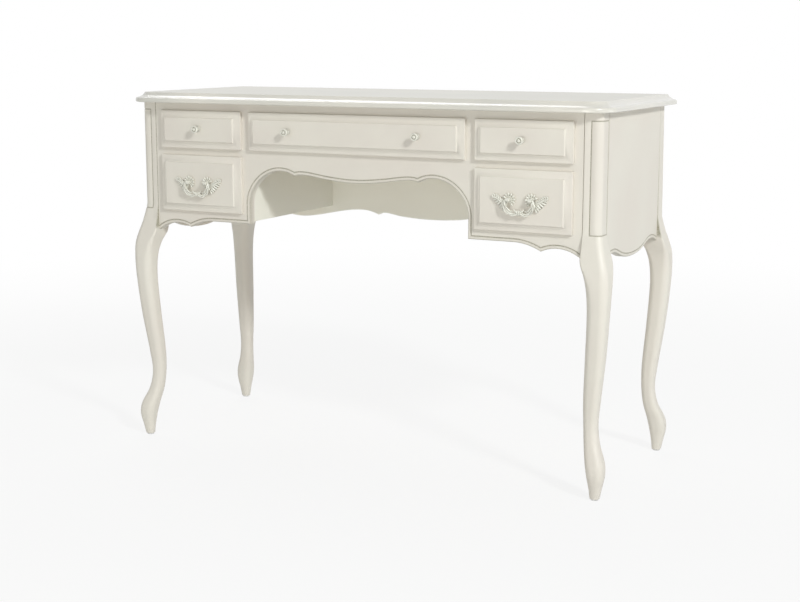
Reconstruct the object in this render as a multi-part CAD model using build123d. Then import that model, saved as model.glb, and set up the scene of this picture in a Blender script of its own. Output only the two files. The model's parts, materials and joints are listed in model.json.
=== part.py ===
from build123d import *
from math import atan2, degrees
import os

# Kneehole dressing table in painted wood, in millimetres: a moulded top on a case with
# cabriole corner legs, a scalloped face frame and five lipped drawers.
# X is the width, -Y the front and +Z up. The origin is on the floor, below the middle.

# ---- Overall ----
height = 770.0              # floor to the top's surface
top_width = 1100.0
case_depth = 391.0          # front of the face frame to the back of the rear posts
side_over = 20.0            # how far the top reaches past the case
front_over = 30.0
back_over = 11.0

# ---- Top board ----
top_thick = 21.0
top_corner_r = 52.0         # rounding of the two front corners in plan
cove_width = 20.0           # moulding run along the front and sides
cove_drop = 10.5
cove_hollow = (0.62, 0.7)   # a point on the cove, as shares of its width and drop
nosing_round = 2.5

# ---- Timber ----
post_size = 37.0            # square of the corner posts
post_round = 13.0           # rounding of a post's outer corner
post_edge_r = 1.5           # and of its other corners
frame_thick = 18.0
panel_thick = 15.0          # side panels, back panel and kneehole partitions
bottom_thick = 8.0          # boards that close the two pedestals
tongue = 6.0                # thickness of tongues and tenons
tongue_reach = 8.0          # how deep they go
tenon_shoulder = 4.0        # cut back above and below a tenon
dado = 4.0                  # depth of the grooves that hold the pedestal bottoms

# ---- Column panel carved on each post ----
column_width = 27.0         # from the post's corner to the groove, on both faces
column_top = 16.0           # below the top board
groove_size = 2.4           # square section of the V groove, cut to half its diagonal

# ---- Face of the case, from the top board down and from the posts in ----
top_show = 16.5             # frame seen above the upper drawers
upper_height = 80.5         # drawer fronts, over their lips
mid_show = 15.0             # frame seen between the drawers
lower_height = 120.5
lower_show = 21.5           # frame seen below the lower drawers
end_show = 18.0             # frame seen between post and drawer
stile_show = 21.0           # frame seen between the centre and side drawers
centre_half = 250.0         # half the centre drawer's front
knee_over = 5.0             # how far the kneehole reaches past it, each side

# ---- Scalloped lower edges, below the centre drawer or below the plain edge ----
knee_centre_drop = 59.0
knee_centre_rise = 4.5      # of the edge halfway to the bump
knee_bump = (128.0, 47.0)   # across from the middle, and down
knee_cusp = (143.5, 50.0)
knee_peak = (178.0, 41.0)
knee_shoulder = (77.0, 73.0)    # reach and height of the curve down into the jamb
shoulder_share = (0.72, 0.33)   # a point on that curve, as shares of the two
plain_run = 95.0            # straight edge beside the kneehole
pedestal_cusp = (84.0, 15.0)    # in from the post, and down
pedestal_arch = (53.0, 7.5)
post_drop = 25.5            # where the edge meets the post
side_post_drop = 29.0
side_arch = (41.0, 19.5)
side_flank = (82.0, 29.0)
side_lobe_drop = 39.5
back_centre_drop = 16.0
back_centre_rise = 3.5
back_bump = (119.0, 6.0)
back_cusp = (134.0, 11.0)
back_peak = (176.0, 2.0)
back_lobe = (163.0, 24.5)   # in from the post, and down
back_post_drop = 22.5

# ---- Cabriole leg below the post: share of the leg's height, then the outward reach past
# ---- the post's corner, the inward reach, and the outer and inner corner radii ----
knee_reach = 22.4           # the furthest that the knee stands out, across and in depth
leg_profile = [
    (0.930, 7.6, post_size, post_round, post_edge_r),
    (0.885, 14.8, post_size - 1.0, 14.0, 4.0),
    (0.840, 20.6, 27.5, 15.0, 9.0),
    (0.785, knee_reach, 22.4, 16.0, 14.0),
    (0.700, 20.8, 20.6, 15.0, 15.0),
    (0.540, 13.7, 24.2, 13.5, 13.5),
    (0.365, 2.7, 29.5, 12.0, 12.0),
    (0.277, -1.2, 29.1, 11.0, 11.0),
    (0.205, 4.6, 25.8, 12.0, 12.0),
    (0.140, 18.2, 18.6, 13.5, 13.5),
    (0.095, 20.8, 14.2, 13.5, 13.5),
    (0.045, 15.8, 9.8, 11.0, 11.0),
]
leg_base = (11.4, 7.4, 8.2)     # outward and inward reach, and corner radius, on the glide
glide_radius = 7.5
glide_thick = 3.0

# ---- Drawers ----
lip_over = 8.0              # how far a front overlaps its opening
lip_thick = 8.0
field_slopes = [(10.5, 3.0), (6.0, 5.0)]    # run and rise of the two slopes up to the field
lip_gap = 0.3               # between a closed front and the frame
drawer_play = 0.8           # each side of a drawer in its opening
drawer_lift = 0.5           # between a drawer and what it runs on
front_inset = 12.0          # how far a front reaches into its opening
drawer_clear = 29.0         # between a closed drawer and the back panel
side_thick = 11.0
side_below = 6.0            # drawer sides stop this far below the opening's top
drawer_back_thick = 10.0
ply_thick = 5.0
ply_groove = 5.0
ply_lift = 8.0              # the bottom's height above the sides' lower edge
tail_length = 9.0
tail_share = 0.62           # wide end of a dovetail, as a share of its pitch
tail_slope = 0.16
upper_tails = 3
lower_tails = 5

# ---- Runners and kickers ----
ledge_thick = 14.0
guide_height = 16.0
screw_radius = 2.0
screw_head_radius = 4.0
screw_head_length = 3.0
screw_grip = 12.0           # thread in the top board
screw_inset = 60.0          # from a kicker's end

# ---- Turned knobs ----
knob_length = 16.5          # stands this far off the raised field
knob_foot_radius = 6.0
knob_neck = (3.6, 6.5)      # radius, and distance from the field
knob_head = (7.4, 11.5)
knob_bead = 2.5             # width of the head's rim
knob_spigot_radius = 3.5
knob_spigot_length = 14.0
knob_drop = 38.5            # from the front's upper edge to the knob's axis
centre_knob_x = 150.0

# ---- Drop handles on the lower drawers ----
handle_drop = 57.0          # from the front's upper edge to the hinge axis
post_spread = 23.0          # half the distance between the two posts
eye_radius = 4.3
eye_half = 3.4              # half the length of an eye along its hole
eye_stand = 10.5            # hinge axis in front of the raised field
plate_thick = 2.5
leaf_points = [(6.0, 14.0), (-12.0, -1.0), (6.0, -10.0), (20.0, -15.0), (35.5, 5.0)]    # round a post
leaf_sweep_r = 30.0         # hollow edges of the leaf
leaf_curl_r = 16.0          # its rounded edges
pin_radius = 1.6
pin_clearance = 0.05
bar_size = 5.4              # square section of the bail
bail_shoulder = 30.0        # half the width of the bail, between its bars' middles
bail_drop = 29.0
bail_bottom_half = 14.0
bail_centre_rise = 5.0      # of the bail's middle, at the knot
bail_bend_r = 8.0
knot_length = 17.0
knot_radius = 4.6
bolt_radius = 1.8
bolt_grip = 5.0             # thread in a mount's lug
bolt_head_radius = 4.5
bolt_head_thick = 2.5

# ---- Places worked out from the sizes above ----
case_half = top_width / 2 - side_over
field_rise = sum(rise for run, rise in field_slopes)    # how far a field stands off the lip
front_reach = max(lip_thick + field_rise + knob_length, front_over, knee_reach)
back_reach = max(back_over, knee_reach)
face_y = (front_reach - case_depth - back_reach) / 2
rear_y = face_y + case_depth
middle_y = (face_y + rear_y) / 2
frame_back = face_y + frame_thick
underside = height - top_thick
post_in = case_half - post_size             # inner face of a post, across
post_back = face_y + post_size              # inner face of a front post, in depth
rear_post = rear_y - post_size
back_face = rear_post
drawer_end = back_face - drawer_clear
side_in = case_half - panel_thick
knee_half = centre_half + knee_over
partition_out = knee_half + panel_thick

upper_lip_top = underside - top_show
upper_lip_low = upper_lip_top - upper_height
lower_lip_top = upper_lip_low - mid_show
lower_lip_low = lower_lip_top - lower_height
plain_edge = lower_lip_low - lower_show
swell_z = lower_lip_low + lip_over          # the cabriole begins here
side_lip_in = centre_half + stile_show
side_lip_out = post_in - end_show
field_y = face_y - lip_thick - field_rise

nodes = {}


def block(x0, x1, y0, y1, z0, z1):
    """A board between two opposite corners."""
    centre = Pos((x0 + x1) / 2, (y0 + y1) / 2, (z0 + z1) / 2)
    return centre * Box(x1 - x0, y1 - y0, z1 - z0)


def left_of(shape):
    """The same piece on the left of the table."""
    return mirror(shape, about=Plane.YZ)


def rear_of(shape):
    """The same piece at the back of the case."""
    return mirror(shape, about=Plane((0, middle_y, 0), z_dir=(0, 1, 0)))


def both(name, shape):
    """Keep a right-hand piece and its left-hand twin."""
    nodes[name + "_right"] = shape
    nodes[name + "_left"] = left_of(shape)


def rod(start, end, radius):
    """A round bar from one point to another."""
    run = Vector(*end) - Vector(*start)
    return extrude(Plane(start, z_dir=run) * Circle(radius), run.length)


# ---------------------------------------------------------------- top board
def make_top():
    half = top_width / 2
    front = face_y - front_over
    back = rear_y + back_over
    turn = front + top_corner_r
    flat = half - top_corner_r
    bend = top_corner_r * (1 - 0.5 ** 0.5)
    edge = (
        Line((-half, back), (-half, turn))
        + ThreePointArc((-half, turn), (bend - half, front + bend), (-flat, front))
        + Line((-flat, front), (flat, front))
        + ThreePointArc((flat, front), (half - bend, front + bend), (half, turn))
        + Line((half, turn), (half, back))
    )
    outline = make_face(edge + Line((half, back), (-half, back)))
    board = extrude(Pos(0, 0, underside) * outline, top_thick)

    # the moulding: a cove falls from the flat, and a rounded nosing stands below it
    nose = nosing_round
    bead = nose * (1 - 0.5 ** 0.5)
    brow = (nose, -cove_drop)
    lip = (0, -cove_drop - nose)
    waste = (
        ThreePointArc((cove_width, 0), (cove_width * cove_hollow[0], -cove_drop * cove_hollow[1]), brow)
        + ThreePointArc(brow, (bead, -cove_drop - bead), lip)
        + Polyline(lip, (-1, lip[1]), (-1, 1), (cove_width, 1), (cove_width, 0))
    )
    start = Plane((-half, back, height), x_dir=(1, 0, 0), z_dir=(0, -1, 0))
    board -= sweep(start * make_face(waste), path=Pos(0, 0, height) * edge)
    return board


# ---------------------------------------------------------------- cabriole legs
def leg_slice(z, out, inn, outer_r, inner_r):
    """A horizontal slice of the front right leg."""
    x0 = case_half - inn
    x1 = case_half + out
    y0 = face_y - out
    y1 = face_y + inn
    cut = inner_r * (2 - 2 ** 0.5)
    ring = FilletPolyline(
        (x0, y0), (x1, y0), (x1, y1), (x0 + cut, y1), (x0, y1 - cut),
        radius=[inner_r, outer_r, inner_r, 0, 0], close=True)
    return Pos(0, 0, z) * make_face(ring)


def make_leg():
    """Front right post and cabriole in one piece."""
    top_slice = leg_slice(swell_z, 0, post_size, post_round, post_edge_r)
    slices = [top_slice]
    for share, out, inn, outer_r, inner_r in leg_profile:
        slices.append(leg_slice(share * swell_z, out, inn, outer_r, inner_r))
    out, inn, corner_r = leg_base
    slices.append(leg_slice(glide_thick, out, inn, corner_r, corner_r))
    swell = loft(slices, ruled=True)
    swell &= block(post_in, case_half + knee_reach, face_y - knee_reach, post_back, 0, swell_z)
    return swell + extrude(top_slice, underside - swell_z)


def carve_column(leg):
    """Cut V grooves round a post: two upright, and two that turn the corner at the panel's ends."""
    panel_top = underside - column_top
    upright = Rot(0, 0, 45) * Box(groove_size, groove_size, panel_top - swell_z)
    mid_z = (panel_top + swell_z) / 2
    leg -= Pos(case_half - column_width, face_y, mid_z) * upright
    leg -= Pos(case_half, face_y + column_width, mid_z) * upright
    bend = post_round * (1 - 0.5 ** 0.5)
    path = (
        Line((case_half - column_width, face_y), (case_half - post_round, face_y))
        + ThreePointArc(
            (case_half - post_round, face_y), (case_half - bend, face_y + bend),
            (case_half, face_y + post_round))
        + Line((case_half, face_y + post_round), (case_half, face_y + column_width))
    )
    for z in (swell_z, panel_top):
        section = Plane((case_half - column_width, face_y, z), z_dir=(1, 0, 0))
        section = section * Rot(0, 0, 45) * Rectangle(groove_size, groove_size)
        leg -= sweep(section, path=Pos(0, 0, z) * path)
    return leg


def make_glide():
    """A hard glide pressed on under the front right foot."""
    out, inn, corner_r = leg_base
    shift = (out - inn) / 2
    x = case_half + shift
    y = face_y - shift
    return rod((x, y, 0), (x, y, glide_thick), glide_radius)


# ---------------------------------------------------------------- scalloped boards
def upright_face(edges):
    """A face drawn in X and Z, on the plane through the origin."""
    return make_face(Plane.XZ * edges)


def frame_outline():
    """Right half of the face frame: the lower edge, closed along the top."""
    base = upper_lip_low
    centre = (0, base - knee_centre_drop)
    bump = (knee_bump[0], base - knee_bump[1])
    cusp = (knee_cusp[0], base - knee_cusp[1])
    peak = (knee_peak[0], base - knee_peak[1])
    reach, drop = knee_shoulder
    spring = (knee_half, peak[1] - drop)
    shoulder = (peak[0] + reach * shoulder_share[0], peak[1] - drop * shoulder_share[1])
    corner = (knee_half, plain_edge)
    run_end = (knee_half + plain_run, plain_edge)
    ped_cusp = (post_in - pedestal_cusp[0], plain_edge - pedestal_cusp[1])
    ped_arch = (post_in - pedestal_arch[0], plain_edge - pedestal_arch[1])
    at_post = (post_in, plain_edge - post_drop)
    edges = (
        Spline(centre, (bump[0] / 2, centre[1] + knee_centre_rise), bump, tangents=[(1, 0), (1, 0)])
        + TangentArc(bump, cusp, tangent=(1, 0))
        + TangentArc(peak, cusp, tangent=(-1, 0))
        + Spline(peak, shoulder, spring, tangents=[(1, 0), (0, -1)])
        + Polyline(spring, corner, run_end)
        + TangentArc(run_end, ped_cusp, tangent=(1, 0))
        + ThreePointArc(ped_cusp, ped_arch, at_post)
        + Polyline(at_post, (post_in, underside), (0, underside), centre)
    )
    return upright_face(edges)


def make_face_frame():
    """Rails and stiles of the face frame, tenoned together."""
    sheet = Pos(0, face_y, 0) * extrude(frame_outline(), frame_thick, dir=(0, 1, 0))
    sheet += left_of(sheet)
    mid = face_y + frame_thick / 2
    t0 = mid - tongue / 2
    t1 = mid + tongue / 2
    top_open = upper_lip_top - lip_over
    mid_top = upper_lip_low + lip_over
    mid_low = lower_lip_top - lip_over
    low_top = lower_lip_low + lip_over
    stile_in = centre_half - lip_over
    stile_out = side_lip_in + lip_over
    end_in = side_lip_out - lip_over
    reach = tongue_reach

    def piece(x0, x1, z0, z1):
        return sheet & block(x0, x1, face_y - 1, frame_back + 1, z0, z1)

    def tenon(x0, x1, z0, z1):
        return block(x0, x1, t0, t1, z0, z1)

    top_rail = piece(-end_in, end_in, top_open, underside)
    for side in (-1, 1):
        ends = sorted((side * end_in, side * (end_in + reach)))
        top_rail += tenon(*ends, top_open + tenon_shoulder, underside - tenon_shoulder)
    apron = piece(-stile_in, stile_in, 0, mid_top)
    for side in (-1, 1):
        ends = sorted((side * stile_in, side * (stile_in + reach)))
        apron += tenon(*ends, mid_low + tenon_shoulder, mid_top - tenon_shoulder)
    mid_rail = piece(stile_out, end_in, mid_low, mid_top)
    mid_rail += tenon(stile_out - reach, end_in + reach, mid_low + tenon_shoulder, mid_top - tenon_shoulder)
    low_rail = piece(stile_out, end_in, 0, low_top)
    low_rail += tenon(
        stile_out - reach, end_in + reach, plain_edge + tenon_shoulder, low_top - tenon_shoulder)
    inner_stile = piece(stile_in, stile_out, 0, top_open)
    inner_stile += tenon(stile_in + reach, stile_out - reach, top_open, top_open + reach)
    inner_stile = inner_stile - apron - mid_rail - low_rail
    outer_stile = piece(end_in, post_in, 0, underside) - top_rail - mid_rail - low_rail
    top_rail = top_rail - inner_stile - left_of(inner_stile)

    nodes["top_rail"] = top_rail
    nodes["kneehole_apron"] = apron
    both("drawer_rail", mid_rail)
    both("pedestal_rail", low_rail)
    both("kneehole_stile", inner_stile)
    both("end_stile", outer_stile)


def make_side_panel():
    """Right side panel, tongued into the posts, with a lobed lower edge."""
    at_post = (post_back, plain_edge - side_post_drop)
    arch = (face_y + post_size + side_arch[0], plain_edge - side_arch[1])
    flank = (face_y + post_size + side_flank[0], plain_edge - side_flank[1])
    lobe = (middle_y, plain_edge - side_lobe_drop)
    half = (
        Spline(at_post, arch, flank, lobe, tangents=[(0.9, 0.44), (1, 0)])
        + Polyline(lobe, (middle_y, underside), (post_back, underside), at_post)
    )
    panel = Pos(side_in, 0, 0) * extrude(make_face(Plane.YZ * half), panel_thick, dir=(1, 0, 0))
    panel += rear_of(panel)
    mid = (side_in + case_half) / 2
    panel += block(
        mid - tongue / 2, mid + tongue / 2, post_back - tongue_reach, rear_post + tongue_reach,
        plain_edge - side_arch[1], underside - tongue)
    return panel


def make_back_panel():
    """Back of the case, between the rear posts, with its lower edge cut like the apron."""
    bump = (back_bump[0], plain_edge - back_bump[1])
    cusp = (back_cusp[0], plain_edge - back_cusp[1])
    peak = (back_peak[0], plain_edge - back_peak[1])
    lobe = (post_in - back_lobe[0], plain_edge - back_lobe[1])
    arch = (post_in - pedestal_arch[0], plain_edge - pedestal_arch[1])
    at_post = (post_in, plain_edge - back_post_drop)
    centre = (0, plain_edge - back_centre_drop)
    edges = (
        Spline(centre, (bump[0] * 0.6, centre[1] + back_centre_rise), bump, tangents=[(1, 0), (1, 0)])
        + TangentArc(bump, cusp, tangent=(1, 0))
        + TangentArc(peak, cusp, tangent=(-1, 0))
        + Spline(peak, lobe, arch, at_post, tangents=[(1, 0), (0.6, -0.8)])
        + Polyline(at_post, (post_in, underside), (0, underside), centre)
    )
    face = Pos(0, back_face, 0) * upright_face(edges)
    panel = extrude(face, panel_thick, dir=(0, 1, 0))
    panel += left_of(panel)
    mid = back_face + panel_thick / 2
    reach = post_in + tongue_reach
    panel += block(
        -reach, reach, mid - tongue / 2, mid + tongue / 2,
        plain_edge, underside - tongue)
    return panel


# ---------------------------------------------------------------- inside the case
def make_partition():
    """Wall between the kneehole and the right pedestal, tongued into stile and back."""
    board = block(knee_half, partition_out, frame_back, back_face, plain_edge + dado, underside)
    mid = knee_half + panel_thick / 2
    board += block(
        mid - tongue / 2, mid + tongue / 2, frame_back - tongue, back_face + tongue,
        plain_edge + 2 * tongue, underside - top_show - lip_over - tongue)
    return board


def make_pedestal_bottom():
    """Board that closes the right pedestal, held in grooves and notched round the posts."""
    top = swell_z - ledge_thick / 2
    board = block(
        partition_out - dado, side_in + dado, frame_back, back_face, top - bottom_thick, top)
    return board - block(post_in, case_half, face_y, post_back, 0, underside)


def drawer_walls():
    """Each wall that a drawer runs beside: its face, the drawer's side, and the strip's two ends."""
    centre_side = centre_half - lip_over
    inner_side = side_lip_in + lip_over
    outer_side = side_lip_out - lip_over
    return {
        "centre": (knee_half, centre_side, frame_back, back_face),
        "inner": (partition_out, inner_side, frame_back, back_face),
        "outer": (side_in, outer_side, post_back, rear_post),
    }


def strip(x0, x1, y0, y1, z0, z1):
    """A straight strip, whichever way round its two edges are given."""
    return block(min(x0, x1), max(x0, x1), y0, y1, z0, z1)


def make_runners():
    """L strips screwed to the partitions and sides: each carries and guides a drawer side."""
    upper = upper_lip_low + lip_over
    rows = {
        "centre": [(upper, ledge_thick)],
        "inner": [(upper, ledge_thick), (swell_z, ledge_thick / 2)],
        "outer": [(upper, ledge_thick), (swell_z, ledge_thick / 2)],
    }
    strips = []
    for wall, (face_x, side_x, y0, y1) in drawer_walls().items():
        tread_x = side_x + side_thick * (1 if side_x > face_x else -1)
        for z, thick in rows[wall]:
            tread = strip(face_x, tread_x, y0, y1, z - thick, z)
            strips.append(tread + strip(face_x, side_x, y0, y1, z, z + guide_height))
    return strips + [left_of(s) for s in strips]


def make_kickers():
    """Strips under the top that stop the upper drawers tipping, and the screws through them."""
    low = upper_lip_top - lip_over
    kickers = []
    screws = []
    for wall, (face_x, side_x, y0, y1) in drawer_walls().items():
        tread_x = side_x + side_thick * (1 if side_x > face_x else -1)
        kicker = strip(face_x, tread_x, y0, y1, low, underside)
        if wall == "outer":
            for y in (y0 + screw_inset, y1 - screw_inset):
                x = (face_x + tread_x) / 2
                shank = rod((x, y, low), (x, y, underside + screw_grip), screw_radius)
                screws.append(shank + rod((x, y, low), (x, y, low - screw_head_length), screw_head_radius))
                kicker -= shank
        kickers.append(kicker)
    return kickers + [left_of(k) for k in kickers], screws + [left_of(s) for s in screws]


# ---------------------------------------------------------------- drawers
def dovetails(x0, x1, y_root, z0, z1, count):
    """Tails that reach forward from a drawer side into its front."""
    pitch = (z1 - z0) / count
    tails = None
    for i in range(count):
        mid = z0 + (i + 0.5) * pitch
        wide = pitch * tail_share / 2
        narrow = wide - tail_slope * tail_length
        tip = y_root - tail_length
        shape = Polyline(
            (y_root, mid - narrow), (tip, mid - wide), (tip, mid + wide), (y_root, mid + narrow),
            close=True)
        tail = extrude(Pos(x0, 0, 0) * make_face(Plane.YZ * shape), x1 - x0, dir=(1, 0, 0))
        tails = tail if tails is None else tails + tail
    return tails


def make_drawer(x0, x1, z0, z1, tails):
    """Front, two sides, back and bottom of a drawer whose lips reach x0, x1, z0 and z1."""
    bx0 = x0 + lip_over + drawer_play
    bx1 = x1 - lip_over - drawer_play
    bz0 = z0 + lip_over + drawer_lift
    bz1 = z1 - lip_over - drawer_play
    side_top = z1 - lip_over - side_below
    root = face_y + front_inset

    lip = block(x0, x1, face_y - lip_thick, face_y - lip_gap, z0, z1)
    body = block(bx0, bx1, face_y - lip_gap, root, bz0, bz1)
    front = lip + body
    wide, high, level = x1 - x0, z1 - z0, face_y - lip_thick
    for run, rise in field_slopes:
        centre = ((x0 + x1) / 2, level, (z0 + z1) / 2)
        step = Plane(centre, x_dir=(1, 0, 0), z_dir=(0, -1, 0)) * Rectangle(wide, high)
        front += extrude(step, rise, taper=degrees(atan2(run, rise)))
        wide, high, level = wide - 2 * run, high - 2 * run, level - rise

    ply_low = bz0 + ply_lift
    ply_high = ply_low + ply_thick
    bottom = block(
        bx0 + side_thick - ply_groove, bx1 - side_thick + ply_groove, root - ply_groove, drawer_end,
        ply_low, ply_high)
    sides = []
    for a, b in ((bx0, bx0 + side_thick), (bx1 - side_thick, bx1)):
        board = block(a, b, root, drawer_end, bz0, side_top)
        board += dovetails(a, b, root, bz0, side_top, tails)
        sides.append(board - bottom)
    front = front - sides[0] - sides[1] - bottom
    back_front = drawer_end - ply_groove - drawer_back_thick
    back = block(
        bx0 + side_thick - dado, bx1 - side_thick + dado, back_front, back_front + drawer_back_thick,
        ply_high, side_top)
    sides = [side - back for side in sides]
    return {"front": front, "side_left": sides[0], "side_right": sides[1], "back": back, "bottom": bottom}


def make_knob(x, z):
    """A turned knob: foot, neck and domed head, with a spigot glued into the front."""
    radius, rise = knob_head
    root = -knob_spigot_length
    profile = Polyline(
        (0, root), (knob_spigot_radius, root), (knob_spigot_radius, 0), (knob_foot_radius, 0), knob_neck,
        (radius, rise), (radius, rise + knob_bead), (0, knob_length), close=True)
    turned = revolve(make_face(profile), Axis.Y)
    return Pos(x, field_y, z) * Rot(0, 0, 180) * turned


# ---------------------------------------------------------------- drop handles
def make_plate(x, z):
    """Leaf plate of the right mount: a long tip outward, a curl inward, lobes above and below."""
    crown, curl, lobe, notch, tip = leaf_points
    leaf = (
        RadiusArc(tip, crown, leaf_sweep_r) + RadiusArc(crown, curl, -leaf_curl_r)
        + RadiusArc(curl, lobe, -leaf_curl_r) + RadiusArc(lobe, notch, leaf_sweep_r) + Line(notch, tip)
    )
    face = Plane((x, field_y, z), x_dir=(1, 0, 0), z_dir=(0, -1, 0)) * make_face(leaf)
    return extrude(face, plate_thick, dir=(0, -1, 0))


def make_mount(x, z):
    """Cast mount at the handle's right end: a leaf plate with a lug drilled for the bail's pin."""
    hinge_y = field_y - eye_stand
    x0 = x - eye_half
    x1 = x + eye_half
    lug = block(x0, x1, hinge_y, field_y, z - eye_radius, z + eye_radius)
    lug += rod((x0, hinge_y, z), (x1, hinge_y, z), eye_radius)
    hole = rod((x0 - 1, hinge_y, z), (x1 + 1, hinge_y, z), pin_radius + pin_clearance)
    return make_plate(x, z) + lug - hole


def make_bolt(x, z):
    """Machine screw from inside the drawer, through the front and into a mount's lug."""
    inner = face_y + front_inset
    bolt = rod((x, inner, z), (x, field_y - bolt_grip, z), bolt_radius)
    return bolt + rod((x, inner, z), (x, inner + bolt_head_thick, z), bolt_head_radius)


def make_bail(cx, z):
    """The swinging bail: a bent bar with a leaf knot, its pins turned inward into the eyes."""
    y = field_y - eye_stand
    low = z - bail_drop
    middle = low + bail_centre_rise
    waist = z - bail_drop / 2
    half = bail_shoulder
    path = FilletPolyline(
        (cx - half, y, z + bar_size / 2), (cx - half, y, waist), (cx - bail_bottom_half, y, low),
        (cx, y, middle), (cx + bail_bottom_half, y, low), (cx + half, y, waist),
        (cx + half, y, z + bar_size / 2),
        radius=bail_bend_r)
    bail = sweep(Plane(path @ 0, z_dir=path % 0) * Rectangle(bar_size, bar_size), path=path)
    for side in (-1, 1):
        bail += rod((cx + side * half, y, z), (cx + side * (post_spread - eye_half), y, z), pin_radius)
    knot = Polyline((-knot_length / 2, 0), (0, knot_radius), (knot_length / 2, 0), close=True)
    return bail + Pos(cx, y, middle) * revolve(make_face(knot), Axis.X)


# ---------------------------------------------------------------- assembly
def add_case():
    """The case, from the top down, each piece cut by what is let into it."""
    board = make_top()
    kickers, screws = make_kickers()
    for screw in screws:
        board -= screw
    nodes["top_board"] = board
    nodes["top_kickers"] = Compound(kickers)
    nodes["top_screws"] = Compound(screws)

    make_face_frame()
    side = make_side_panel()
    back = make_back_panel()
    glide = make_glide()
    leg = make_leg()
    both("leg_front", carve_column(leg) - side)
    both("leg_rear", rear_of(leg) - side - back)
    glides = [glide, rear_of(glide)]
    nodes["foot_glides"] = Compound(glides + [left_of(g) for g in glides])

    partition = make_partition()
    bottom = make_pedestal_bottom()
    both("side_panel", side - bottom)
    both("kneehole_partition", partition - bottom)
    both("pedestal_bottom", bottom)
    nodes["kneehole_stile_right"] -= partition
    nodes["kneehole_stile_left"] -= left_of(partition)
    nodes["back_panel"] = back - partition - left_of(partition)
    nodes["drawer_runners"] = Compound(make_runners())


def add_drawer(name, pieces, hardware):
    """Keep a drawer's boards and its hardware, with the front drilled for them."""
    for fitting in hardware.values():
        for solid in fitting:
            pieces["front"] -= solid
    for piece, shape in pieces.items():
        nodes[name + "_" + piece] = shape
    for piece, solids in hardware.items():
        nodes[name + "_" + piece] = Compound(solids) if len(solids) > 1 else solids[0]


def add_drawers():
    """One drawer over the kneehole, and two in each pedestal."""
    knob_z = upper_lip_top - knob_drop
    knob = make_knob(centre_knob_x, knob_z)
    pieces = make_drawer(-centre_half, centre_half, upper_lip_low, upper_lip_top, upper_tails)
    add_drawer("centre_drawer", pieces, {"knobs": [knob, left_of(knob)]})

    pedestal_x = (side_lip_in + side_lip_out) / 2
    handle_z = lower_lip_top - handle_drop
    mount = make_mount(pedestal_x + post_spread, handle_z)
    bolt = make_bolt(pedestal_x + post_spread, handle_z)
    across = Plane((pedestal_x, 0, 0), z_dir=(1, 0, 0))
    mounts = [mount - bolt, mirror(mount - bolt, about=across)]
    bolts = [bolt, mirror(bolt, about=across)]
    upper = make_drawer(side_lip_in, side_lip_out, upper_lip_low, upper_lip_top, upper_tails)
    lower = make_drawer(side_lip_in, side_lip_out, lower_lip_low, lower_lip_top, lower_tails)
    bail = make_bail(pedestal_x, handle_z)
    upper_fit = {"knob": [make_knob(pedestal_x, knob_z)]}
    lower_fit = {"mounts": mounts, "bolts": bolts}
    for name, set_pieces, fit in (("upper", upper, upper_fit), ("lower", lower, lower_fit)):
        twin = {piece: left_of(shape) for piece, shape in set_pieces.items()}
        twin["side_left"], twin["side_right"] = twin["side_right"], twin["side_left"]
        twin_fit = {piece: [left_of(s) for s in solids] for piece, solids in fit.items()}
        add_drawer(name + "_right_drawer", set_pieces, fit)
        add_drawer(name + "_left_drawer", twin, twin_fit)
    both("bail", bail)


add_case()
add_drawers()
os.makedirs("parts", exist_ok=True)
for name, shape in nodes.items():
    export_step(shape, "parts/" + name + ".step")
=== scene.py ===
import bmesh
import bpy
import json
from math import atan, cos, pi, radians, sin, tan
from mathutils import Matrix, Vector
from mathutils.geometry import interpolate_bezier


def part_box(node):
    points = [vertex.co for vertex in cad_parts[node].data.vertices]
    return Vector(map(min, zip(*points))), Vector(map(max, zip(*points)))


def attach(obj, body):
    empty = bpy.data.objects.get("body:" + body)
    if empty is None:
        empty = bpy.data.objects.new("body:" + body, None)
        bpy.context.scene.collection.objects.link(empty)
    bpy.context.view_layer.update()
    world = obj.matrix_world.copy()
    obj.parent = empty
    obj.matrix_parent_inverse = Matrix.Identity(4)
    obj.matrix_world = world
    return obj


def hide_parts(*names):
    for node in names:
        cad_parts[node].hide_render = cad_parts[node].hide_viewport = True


# A kneehole dressing table in ivory paint with an antique wash: the painted case, the moulded
# top, the cabriole legs, the fielded drawers and the cast fittings, in metres, round the frame.

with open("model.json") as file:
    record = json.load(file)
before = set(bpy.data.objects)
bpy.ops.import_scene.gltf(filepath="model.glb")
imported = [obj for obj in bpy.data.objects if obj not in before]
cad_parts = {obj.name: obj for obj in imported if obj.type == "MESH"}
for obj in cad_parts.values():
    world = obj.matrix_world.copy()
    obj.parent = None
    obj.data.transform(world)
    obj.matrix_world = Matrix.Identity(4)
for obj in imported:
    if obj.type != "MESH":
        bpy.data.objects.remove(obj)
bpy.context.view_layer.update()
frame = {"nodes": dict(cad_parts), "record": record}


# ---- Camera ----
# A long lens at the right of the table, a little above the top.
camera_place = Vector((1.448, -2.613, 0.890))   # its depth is from the face of the case
camera_pitch = 10.26
camera_yaw = 27.21
camera_lens = 65.9

view_camera = bpy.data.objects.new("view_camera", bpy.data.cameras.new("view_camera"))
bpy.context.scene.collection.objects.link(view_camera)
case_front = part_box("top_rail")[0].y
view_camera.location = camera_place + Vector((0, case_front, 0))
view_camera.rotation_euler = (radians(90 - camera_pitch), 0, radians(camera_yaw))
view_camera.data.lens = camera_lens
bpy.context.scene.camera = view_camera


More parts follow.
